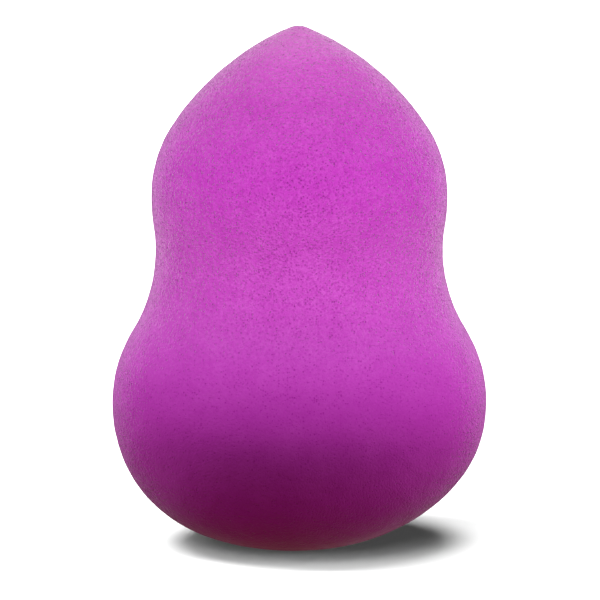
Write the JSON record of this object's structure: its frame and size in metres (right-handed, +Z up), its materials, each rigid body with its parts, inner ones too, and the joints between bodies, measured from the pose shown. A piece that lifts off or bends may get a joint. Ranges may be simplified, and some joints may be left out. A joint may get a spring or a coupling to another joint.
{
  "type": "makeup sponge",
  "caption": "Gourd-shaped makeup sponge of soft foam, with a round base and belly, a waist to hold it by, and a head with a blunt tip.",
  "frame": {"origin": "centre of the small flat that the sponge stands on, at the middle of its base", "axes": "+Z up along the axis of revolution, from the base to the tip; +X and +Y are alike, and the picture looks along +Y"},
  "size_m": [0.043, 0.043, 0.06],
  "materials": {
    "foam": "matte, open-celled foam"
  },
  "bodies": {
    "root": {"foam_body": "foam"}
  },
  "joints": []
}
